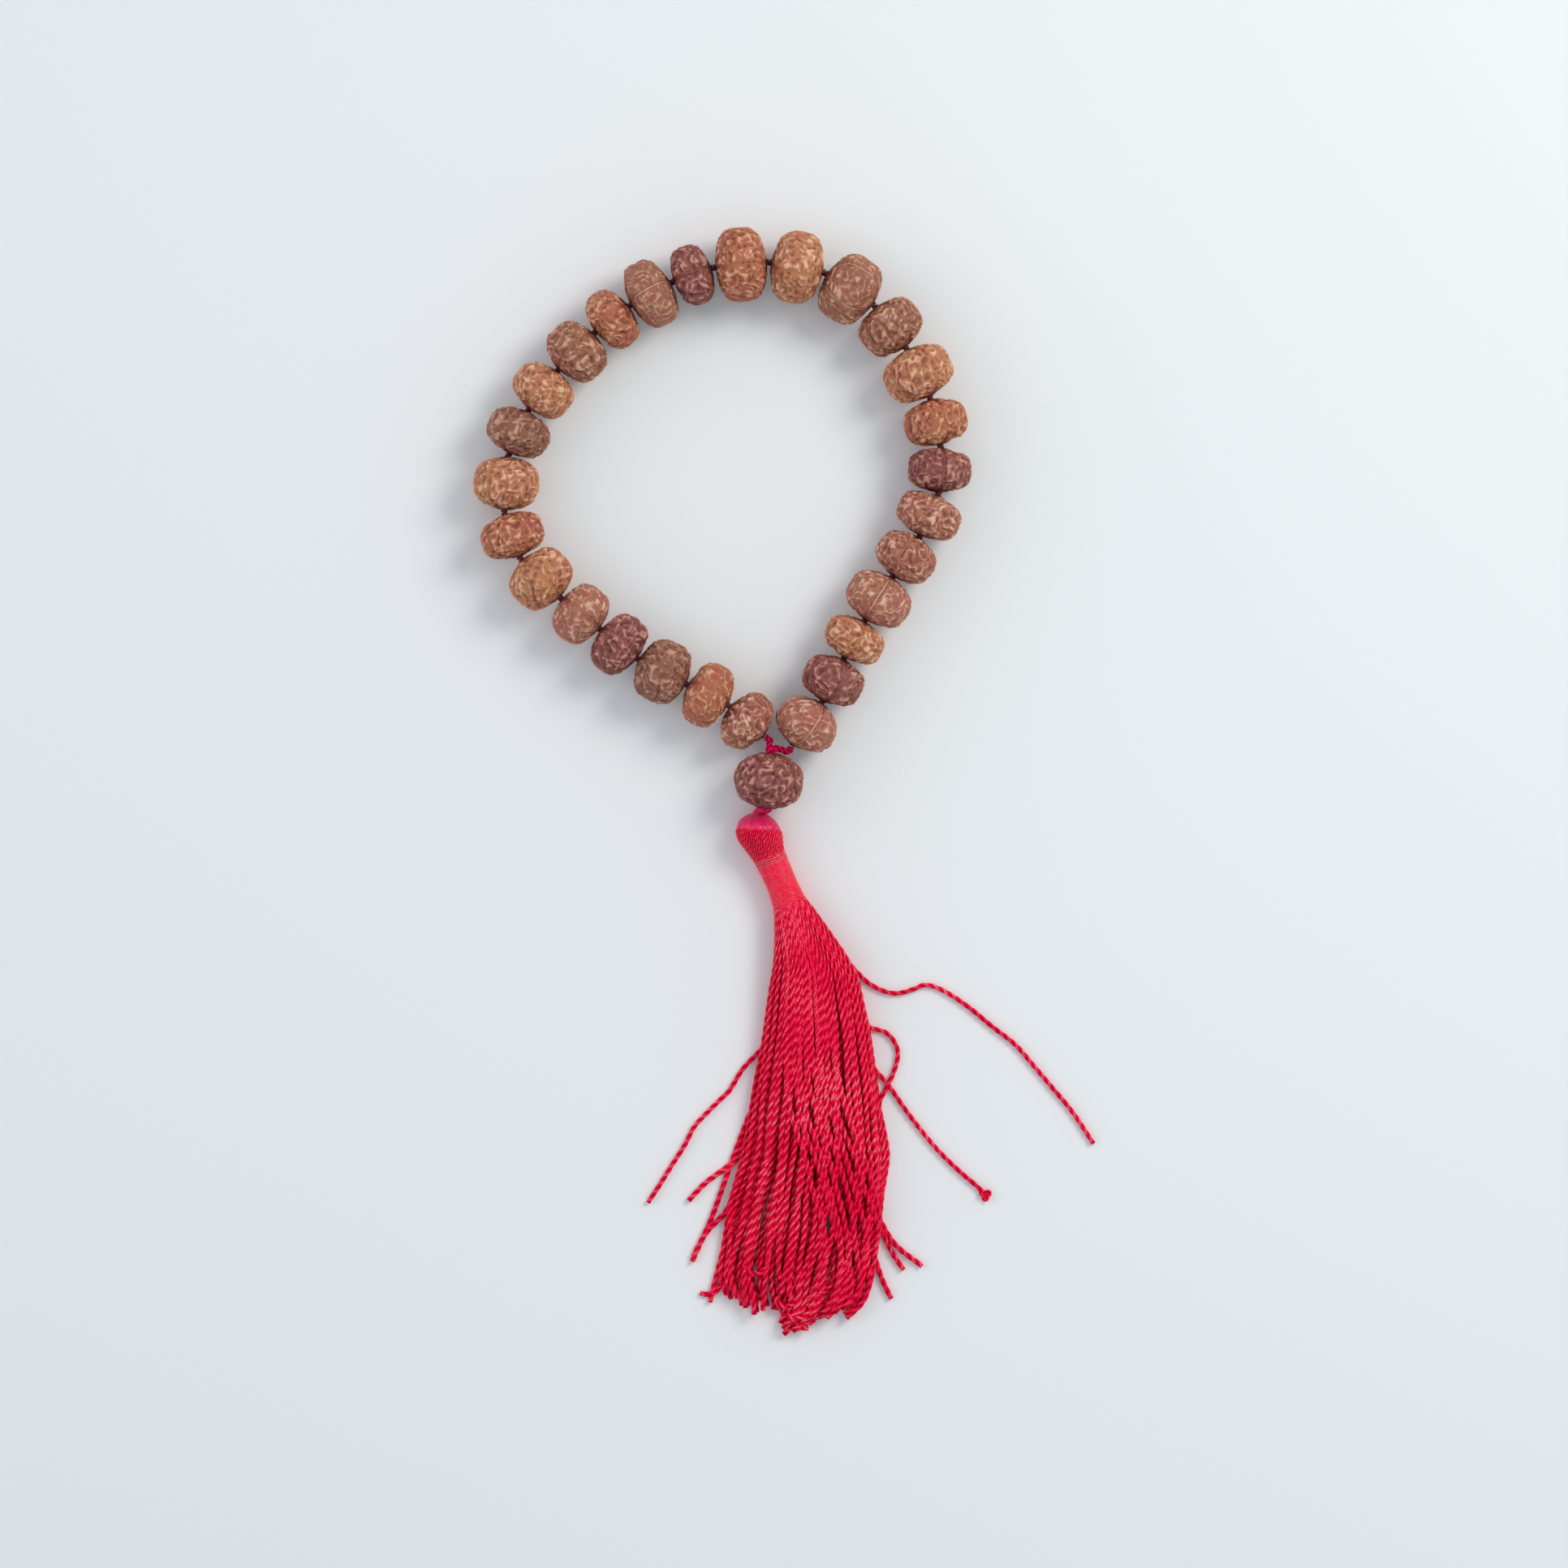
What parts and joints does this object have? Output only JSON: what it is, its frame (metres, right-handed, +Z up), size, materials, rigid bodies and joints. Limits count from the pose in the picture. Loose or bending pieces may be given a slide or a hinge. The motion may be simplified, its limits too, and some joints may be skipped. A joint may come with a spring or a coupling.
{
  "type": "mala prayer beads",
  "caption": "Wrist mala of drilled seed beads on a flexible cord loop, with a larger guru bead and a silk tassel, lying flat.",
  "frame": {"origin": "middle of the loop and tassel's bounding box, on the surface that it lies on, the stray strand left out", "axes": "+Z up from the surface, +Y from the tassel towards the top of the loop, +X to the right with the tassel nearest"},
  "size_m": [0.0907, 0.1622, 0.0113],
  "materials": {
    "seed_pinkish": "dry ridged seed, matt with a slight handling polish on its ridges",
    "seed_reddish": "dry ridged seed, matt with a slight handling polish on its ridges",
    "seed_golden": "dry ridged seed, matt with a slight handling polish on its ridges",
    "seed_brown": "dry ridged seed, matt with a slight handling polish on its ridges",
    "seed_olive": "dry ridged seed, matt with a slight handling polish on its ridges",
    "seed_mauve": "dry ridged seed, matt with a slight handling polish on its ridges",
    "cord": "twisted hot-pink silk cord",
    "silk": "twisted crimson silk strands with a soft shine",
    "silk_thread": "crimson silk thread wound side by side"
  },
  "bodies": {
    "cord_ends": {"guru_cord": "cord"},
    "guru": {"guru_bead": "seed_mauve"},
    "tassel_top": {"tassel_head": "silk", "tassel_binding": "silk_thread"},
    "tassel_fringe": {"tassel_skirt": "silk", "stray_strand": "silk"},
    "link_01": {"cord_01": "cord"},
    "link_02": {"cord_02": "cord"},
    "link_03": {"cord_03": "cord"},
    "links_04_05": {"cord_04": "cord", "cord_05": "cord"},
    "link_06": {"cord_06": "cord"},
    "link_07": {"cord_07": "cord"},
    "link_08": {"cord_08": "cord"},
    "links_09_11": {"cord_09": "cord", "cord_10": "cord", "cord_11": "cord"},
    "link_12": {"cord_12": "cord"},
    "link_13": {"cord_13": "cord"},
    "link_14": {"cord_14": "cord"},
    "links_26_27": {"cord_26": "cord", "cord_27": "cord"},
    "links_23_25": {"cord_23": "cord", "cord_24": "cord", "cord_25": "cord"},
    "link_22": {"cord_22": "cord"},
    "link_21": {"cord_21": "cord"},
    "link_20": {"cord_20": "cord"},
    "links_17_19": {"cord_17": "cord", "cord_18": "cord", "cord_19": "cord"},
    "link_16": {"cord_16": "cord"},
    "link_15": {"cord_15": "cord"},
    "seed_01": {"bead_01": "seed_pinkish"},
    "seed_02": {"bead_02": "seed_reddish"},
    "seed_03": {"bead_03": "seed_olive"},
    "seed_04": {"bead_04": "seed_mauve"},
    "seed_05": {"bead_05": "seed_pinkish"},
    "seed_06": {"bead_06": "seed_golden"},
    "seed_07": {"bead_07": "seed_reddish"},
    "seed_08": {"bead_08": "seed_golden"},
    "seed_09": {"bead_09": "seed_olive"},
    "seed_10": {"bead_10": "seed_golden"},
    "seed_11": {"bead_11": "seed_brown"},
    "seed_12": {"bead_12": "seed_reddish"},
    "seed_13": {"bead_13": "seed_brown"},
    "seed_14": {"bead_14": "seed_mauve"},
    "seed_15": {"bead_15": "seed_reddish"},
    "seed_16": {"bead_16": "seed_golden"},
    "seed_17": {"bead_17": "seed_brown"},
    "seed_18": {"bead_18": "seed_brown"},
    "seed_19": {"bead_19": "seed_golden"},
    "seed_20": {"bead_20": "seed_reddish"},
    "seed_21": {"bead_21": "seed_mauve"},
    "seed_22": {"bead_22": "seed_pinkish"},
    "seed_23": {"bead_23": "seed_pinkish"},
    "seed_24": {"bead_24": "seed_pinkish"},
    "seed_25": {"bead_25": "seed_golden"},
    "seed_26": {"bead_26": "seed_mauve"},
    "seed_27": {"bead_27": "seed_pinkish"}
  },
  "joints": [
    {"name": "loop_squeeze", "type": "hinge", "parent": "cord_ends", "child": "link_01", "pos_m": [0.0061, 0.0072, 0.0048], "axis": [0, 0, 1], "range_deg": [-1.26, 1.26]},
    {"name": "tassel_swing", "type": "hinge", "parent": "cord_ends", "child": "tassel_top", "pos_m": [0.00627, -0.00336, 0.0035], "axis": [0, 0, 1], "range_deg": [-45, 45]},
    {"name": "fringe_sway", "type": "hinge", "parent": "tassel_top", "child": "tassel_fringe", "pos_m": [0.01015, -0.01822, 0.0025], "axis": [0, 0, 1], "range_deg": [-15, 15]},
    {"name": "bend_01_02", "type": "hinge", "parent": "link_01", "child": "link_02", "pos_m": [0.00092, 0.01164, 0.00505], "axis": [0, 0, 1], "range_deg": [-3.03, 3.03]},
    {"name": "bend_02_03", "type": "hinge", "parent": "link_02", "child": "link_03", "pos_m": [-0.00516, 0.01474, 0.00505], "axis": [0, 0, 1], "range_deg": [-3.72, 3.72]},
    {"name": "bend_03_04", "type": "hinge", "parent": "link_03", "child": "links_04_05", "pos_m": [-0.01225, 0.01842, 0.0049], "axis": [0, 0, 1], "range_deg": [-3.08, 3.08]},
    {"name": "bend_05_06", "type": "hinge", "parent": "links_04_05", "child": "link_06", "pos_m": [-0.02338, 0.02715, 0.00495], "axis": [0, 0, 1], "range_deg": [-1.35, 1.35]},
    {"name": "bend_06_07", "type": "hinge", "parent": "link_06", "child": "link_07", "pos_m": [-0.02929, 0.03291, 0.00495], "axis": [0, 0, 1], "range_deg": [-3.51, 3.51]},
    {"name": "bend_07_08", "type": "hinge", "parent": "link_07", "child": "link_08", "pos_m": [-0.03162, 0.0397, 0.005], "axis": [0, 0, 1], "range_deg": [-4.2, 4.2]},
    {"name": "bend_08_09", "type": "hinge", "parent": "link_08", "child": "links_09_11", "pos_m": [-0.03104, 0.04803, 0.005], "axis": [0, 0, 1], "range_deg": [-5.96, 5.96]},
    {"name": "bend_11_12", "type": "hinge", "parent": "links_09_11", "child": "link_12", "pos_m": [-0.01853, 0.06567, 0.0049], "axis": [0, 0, 1], "range_deg": [-1.19, 1.19]},
    {"name": "bend_12_13", "type": "hinge", "parent": "link_12", "child": "link_13", "pos_m": [-0.01344, 0.06961, 0.0053], "axis": [0, 0, 1], "range_deg": [-3.42, 3.42]},
    {"name": "bend_13_14", "type": "hinge", "parent": "link_13", "child": "link_14", "pos_m": [-0.00734, 0.07299, 0.0053], "axis": [0, 0, 1], "range_deg": [-3.66, 3.66]},
    {"name": "bend_guru_27", "type": "hinge", "parent": "cord_ends", "child": "links_26_27", "pos_m": [0.01003, 0.0058, 0.00495], "axis": [0, 0, 1], "range_deg": [-2.25, 2.25]},
    {"name": "bend_26_25", "type": "hinge", "parent": "links_26_27", "child": "links_23_25", "pos_m": [0.01759, 0.01852, 0.0048], "axis": [0, 0, 1], "range_deg": [-0.58, 0.58]},
    {"name": "bend_23_22", "type": "hinge", "parent": "links_23_25", "child": "link_22", "pos_m": [0.02855, 0.03608, 0.005], "axis": [0, 0, 1], "range_deg": [-3.39, 3.39]},
    {"name": "bend_22_21", "type": "hinge", "parent": "link_22", "child": "link_21", "pos_m": [0.03126, 0.04232, 0.005], "axis": [0, 0, 1], "range_deg": [-3.27, 3.27]},
    {"name": "bend_21_20", "type": "hinge", "parent": "link_21", "child": "link_20", "pos_m": [0.03163, 0.04925, 0.0049], "axis": [0, 0, 1], "range_deg": [-3.02, 3.02]},
    {"name": "bend_20_19", "type": "hinge", "parent": "link_20", "child": "links_17_19", "pos_m": [0.0301, 0.05625, 0.0054], "axis": [0, 0, 1], "range_deg": [-3.26, 3.26]},
    {"name": "bend_17_16", "type": "hinge", "parent": "links_17_19", "child": "link_16", "pos_m": [0.01482, 0.07434, 0.0055], "axis": [0, 0, 1], "range_deg": [-2.2, 2.2]},
    {"name": "bend_16_15", "type": "hinge", "parent": "link_16", "child": "link_15", "pos_m": [0.00673, 0.07586, 0.0057], "axis": [0, 0, 1], "range_deg": [-2.58, 2.58]},
    {"name": "bead_spin_01", "type": "hinge", "parent": "link_01", "child": "seed_01", "pos_m": [0.00351, 0.00942, 0.00492], "axis": [-0.7586, 0.6505, 0.0366], "continuous": true},
    {"name": "bead_spin_02", "type": "hinge", "parent": "link_02", "child": "seed_02", "pos_m": [-0.00212, 0.01319, 0.00505], "axis": [-0.8907, 0.4546, 0], "continuous": true},
    {"name": "bead_spin_03", "type": "hinge", "parent": "link_03", "child": "seed_03", "pos_m": [-0.00871, 0.01658, 0.00497], "axis": [-0.8875, 0.4605, -0.0188], "continuous": true},
    {"name": "bead_spin_04", "type": "hinge", "parent": "links_04_05", "child": "seed_04", "pos_m": [-0.015, 0.02057, 0.0049], "axis": [-0.7878, 0.6159, 0], "continuous": true},
    {"name": "bead_spin_05", "type": "hinge", "parent": "links_04_05", "child": "seed_05", "pos_m": [-0.02057, 0.02494, 0.00493], "axis": [-0.7861, 0.618, 0.007], "continuous": true},
    {"name": "bead_spin_06", "type": "hinge", "parent": "link_06", "child": "seed_06", "pos_m": [-0.02633, 0.03003, 0.00495], "axis": [-0.7161, 0.698, 0], "continuous": true},
    {"name": "bead_spin_07", "type": "hinge", "parent": "link_07", "child": "seed_07", "pos_m": [-0.03046, 0.0363, 0.00497], "axis": [-0.3245, 0.9459, 0.007], "continuous": true},
    {"name": "bead_spin_08", "type": "hinge", "parent": "link_08", "child": "seed_08", "pos_m": [-0.03133, 0.04386, 0.005], "axis": [0.0698, 0.9976, 0], "continuous": true},
    {"name": "bead_spin_09", "type": "hinge", "parent": "links_09_11", "child": "seed_09", "pos_m": [-0.02959, 0.05127, 0.00497], "axis": [0.4078, 0.913, -0.007], "continuous": true},
    {"name": "bead_spin_10", "type": "hinge", "parent": "links_09_11", "child": "seed_10", "pos_m": [-0.02601, 0.05738, 0.00493], "axis": [0.5969, 0.8023, -0.007], "continuous": true},
    {"name": "bead_spin_11", "type": "hinge", "parent": "links_09_11", "child": "seed_11", "pos_m": [-0.0212, 0.06296, 0.0049], "axis": [0.7017, 0.7124, 0], "continuous": true},
    {"name": "bead_spin_12", "type": "hinge", "parent": "link_12", "child": "seed_12", "pos_m": [-0.01599, 0.06764, 0.0051], "axis": [0.789, 0.6112, 0.062], "continuous": true},
    {"name": "bead_spin_13", "type": "hinge", "parent": "link_13", "child": "seed_13", "pos_m": [-0.01039, 0.0713, 0.0053], "axis": [0.8753, 0.4836, 0], "continuous": true},
    {"name": "bead_spin_14", "type": "hinge", "parent": "link_14", "child": "seed_14", "pos_m": [-0.00434, 0.07402, 0.0055], "axis": [0.9435, 0.3253, 0.0629], "continuous": true},
    {"name": "bead_spin_15", "type": "hinge", "parent": "link_15", "child": "seed_15", "pos_m": [0.0027, 0.07546, 0.0057], "axis": [0.9951, 0.0991, 0], "continuous": true},
    {"name": "bead_spin_16", "type": "hinge", "parent": "link_16", "child": "seed_16", "pos_m": [0.01078, 0.0751, 0.0056], "axis": [0.9825, -0.1845, -0.0243], "continuous": true},
    {"name": "bead_spin_17", "type": "hinge", "parent": "links_17_19", "child": "seed_17", "pos_m": [0.01843, 0.07194, 0.00545], "axis": [0.8329, -0.5533, -0.0115], "continuous": true},
    {"name": "bead_spin_18", "type": "hinge", "parent": "links_17_19", "child": "seed_18", "pos_m": [0.02434, 0.06646, 0.0054], "axis": [0.5973, -0.802, 0], "continuous": true},
    {"name": "bead_spin_19", "type": "hinge", "parent": "links_17_19", "child": "seed_19", "pos_m": [0.02837, 0.05981, 0.0054], "axis": [0.4371, -0.8994, 0], "continuous": true},
    {"name": "bead_spin_20", "type": "hinge", "parent": "link_20", "child": "seed_20", "pos_m": [0.03086, 0.05275, 0.00515], "axis": [0.2133, -0.9745, -0.0696], "continuous": true},
    {"name": "bead_spin_21", "type": "hinge", "parent": "link_21", "child": "seed_21", "pos_m": [0.03144, 0.04579, 0.00495], "axis": [-0.0533, -0.9985, 0.0144], "continuous": true},
    {"name": "bead_spin_22", "type": "hinge", "parent": "link_22", "child": "seed_22", "pos_m": [0.0299, 0.0392, 0.005], "axis": [-0.3983, -0.9173, 0], "continuous": true},
    {"name": "bead_spin_23", "type": "hinge", "parent": "links_23_25", "child": "seed_23", "pos_m": [0.02657, 0.03319, 0.00505], "axis": [-0.5647, -0.8252, 0.0143], "continuous": true},
    {"name": "bead_spin_24", "type": "hinge", "parent": "links_23_25", "child": "seed_24", "pos_m": [0.02261, 0.02714, 0.0051], "axis": [-0.5312, -0.8473, 0], "continuous": true},
    {"name": "bead_spin_25", "type": "hinge", "parent": "links_23_25", "child": "seed_25", "pos_m": [0.01911, 0.02125, 0.00495], "axis": [-0.4863, -0.8725, -0.0479], "continuous": true},
    {"name": "bead_spin_26", "type": "hinge", "parent": "links_26_27", "child": "seed_26", "pos_m": [0.01603, 0.01535, 0.00487], "axis": [-0.4425, -0.8965, 0.0212], "continuous": true},
    {"name": "bead_spin_27", "type": "hinge", "parent": "links_26_27", "child": "seed_27", "pos_m": [0.01224, 0.00899, 0.00495], "axis": [-0.5705, -0.8213, 0], "continuous": true},
    {"name": "guru_spin", "type": "hinge", "parent": "cord_ends", "child": "guru", "pos_m": [0.00669, 0.00077, 0.0053], "axis": [-0.0998, -0.995, 0], "continuous": true}
  ],
  "couplings": [
    {"joint": "bend_01_02", "follows": "loop_squeeze", "ratio": 2.3918},
    {"joint": "bend_02_03", "follows": "loop_squeeze", "ratio": 2.9362},
    {"joint": "bend_03_04", "follows": "loop_squeeze", "ratio": 2.4251},
    {"joint": "bend_05_06", "follows": "loop_squeeze", "ratio": -1.0588},
    {"joint": "bend_06_07", "follows": "loop_squeeze", "ratio": -2.7713},
    {"joint": "bend_07_08", "follows": "loop_squeeze", "ratio": -3.318},
    {"joint": "bend_08_09", "follows": "loop_squeeze", "ratio": -4.7126},
    {"joint": "bend_11_12", "follows": "loop_squeeze", "ratio": 0.928},
    {"joint": "bend_12_13", "follows": "loop_squeeze", "ratio": 2.6967},
    {"joint": "bend_13_14", "follows": "loop_squeeze", "ratio": 2.8862},
    {"joint": "bend_guru_27", "follows": "loop_squeeze", "ratio": -1.7668},
    {"joint": "bend_26_25", "follows": "loop_squeeze", "ratio": -0.4475},
    {"joint": "bend_23_22", "follows": "loop_squeeze", "ratio": 2.6722},
    {"joint": "bend_22_21", "follows": "loop_squeeze", "ratio": 2.5803},
    {"joint": "bend_21_20", "follows": "loop_squeeze", "ratio": 2.3831},
    {"joint": "bend_20_19", "follows": "loop_squeeze", "ratio": 2.5697},
    {"joint": "bend_17_16", "follows": "loop_squeeze", "ratio": -1.7339},
    {"joint": "bend_16_15", "follows": "loop_squeeze", "ratio": -2.0354}
  ]
}
